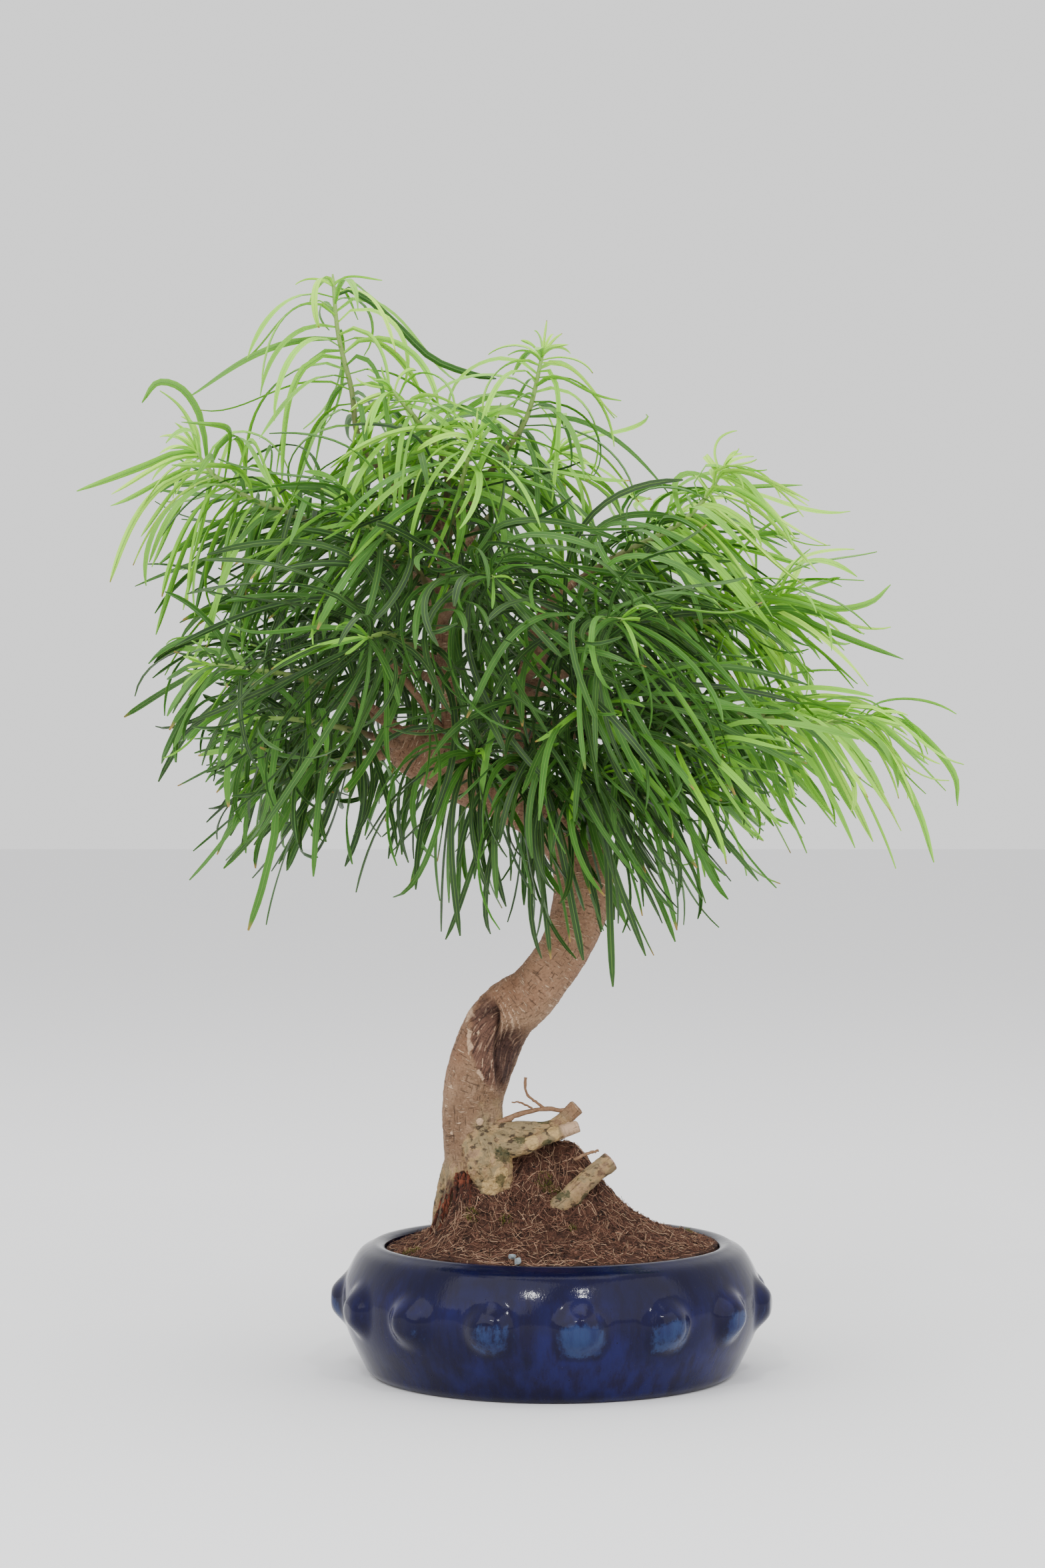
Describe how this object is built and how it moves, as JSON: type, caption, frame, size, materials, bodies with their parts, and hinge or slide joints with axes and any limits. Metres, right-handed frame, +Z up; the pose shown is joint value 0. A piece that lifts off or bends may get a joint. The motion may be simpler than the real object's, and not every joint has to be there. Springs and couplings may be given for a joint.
{
  "type": "bonsai tree in a pot",
  "caption": "Small bonsai tree with a curved bare trunk, a dense crown of long strap leaves and cut surface roots, in a round studded glazed pot filled with soil.",
  "frame": {"origin": "centre of the pot's flat underside, on the ground", "axes": "+Z up; the picture looks along +Y, with +X to its right"},
  "size_m": [0.3949, 0.2889, 0.4932],
  "materials": {
    "glaze": "gloss",
    "screen": "matte",
    "peat": "matte",
    "bark": "matte",
    "grit": "matte",
    "leaf": "satin"
  },
  "bodies": {
    "root": {"pot": "glaze", "drain_screen_1": "screen", "drain_screen_2": "screen", "drain_screen_3": "screen", "soil": "peat", "tree": "bark", "crossing_root": "bark", "grit_chip_1": "grit", "grit_chip_2": "grit", "shoot_leader_tip": "leaf", "shoot_top_left": "leaf", "shoot_top_middle": "leaf", "shoot_top_right": "leaf", "shoot_right_high": "leaf", "shoot_right_middle": "leaf", "shoot_right_low": "leaf", "shoot_right_front": "leaf", "shoot_bend_front": "leaf", "shoot_right_under": "leaf", "shoot_left_high": "leaf", "shoot_left_front": "leaf", "shoot_left_middle": "leaf", "shoot_left_low": "leaf", "shoot_left_under": "leaf", "shoot_centre_low": "leaf", "shoot_centre_under": "leaf", "shoot_centre_right": "leaf", "shoot_front_middle": "leaf", "shoot_front_left": "leaf", "shoot_front_right": "leaf", "shoot_back_top": "leaf", "shoot_back_high": "leaf", "shoot_back_right_high": "leaf", "shoot_back_right": "leaf", "shoot_back_right_low": "leaf", "shoot_back_left_high": "leaf", "shoot_back_left": "leaf", "shoot_back_left_middle": "leaf", "shoot_back_left_low": "leaf", "shoot_back_middle": "leaf", "shoot_back_centre": "leaf", "shoot_back_under": "leaf", "shoot_back_low": "leaf"}
  },
  "joints": []
}
